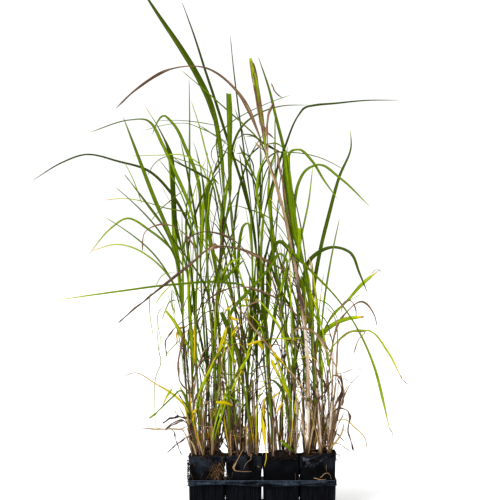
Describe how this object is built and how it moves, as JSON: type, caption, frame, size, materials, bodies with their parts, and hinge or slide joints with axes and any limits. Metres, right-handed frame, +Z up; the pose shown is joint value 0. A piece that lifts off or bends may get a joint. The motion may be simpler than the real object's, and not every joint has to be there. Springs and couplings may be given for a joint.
{
  "type": "potted miscanthus grass clump",
  "caption": "Young miscanthus plants, green and half dried, growing in square plastic pots that stand in a carrying tray.",
  "frame": {"origin": "on the ground, under the middle of the carrying tray", "axes": "+X along the row of pots, +Z up, -Y towards the front that the picture shows"},
  "size_m": [0.9265, 0.3056, 1.2888],
  "materials": {
    "black_plastic": "satin",
    "compost": "matte",
    "green_grass": "satin",
    "straw_grass": "matte",
    "dead_grass": "matte"
  },
  "bodies": {
    "root": {"carry_tray": "black_plastic", "pot_1": "black_plastic", "pot_2": "black_plastic", "pot_3": "black_plastic", "pot_4": "black_plastic", "compost_1": "compost", "compost_2": "compost", "compost_3": "compost", "compost_4": "compost", "shoot_1a": "green_grass", "shoot_1b": "green_grass", "shoot_1c": "green_grass", "shoot_1d": "green_grass", "shoot_1e": "green_grass", "shoot_1f": "green_grass", "shoot_1g": "green_grass", "shoot_1h": "green_grass", "shoot_1i": "dead_grass", "shoot_1j": "green_grass", "shoot_1k": "green_grass", "shoot_1l": "green_grass", "shoot_1m": "green_grass", "shoot_1n": "dead_grass", "shoot_1o": "dead_grass", "shoot_2a": "green_grass", "shoot_2b": "green_grass", "shoot_2c": "green_grass", "shoot_2d": "green_grass", "shoot_2e": "dead_grass", "shoot_2f": "dead_grass", "shoot_2g": "green_grass", "shoot_2h": "green_grass", "shoot_2i": "dead_grass", "shoot_2j": "green_grass", "shoot_2k": "green_grass", "shoot_2l": "dead_grass", "shoot_2m": "dead_grass", "shoot_3a": "green_grass", "shoot_3b": "green_grass", "shoot_3c": "green_grass", "shoot_3d": "green_grass", "shoot_3e": "green_grass", "shoot_3f": "dead_grass", "shoot_3g": "green_grass", "shoot_3h": "green_grass", "shoot_3i": "straw_grass", "shoot_3j": "straw_grass", "shoot_4a": "straw_grass", "shoot_4b": "green_grass", "shoot_4c": "straw_grass", "shoot_4d": "green_grass", "shoot_4e": "green_grass", "shoot_4f": "dead_grass", "shoot_4g": "green_grass", "shoot_4h": "dead_grass", "shoot_4i": "straw_grass", "shoot_4j": "dead_grass", "shoot_4k": "straw_grass", "shoot_4l": "straw_grass"}
  },
  "joints": []
}
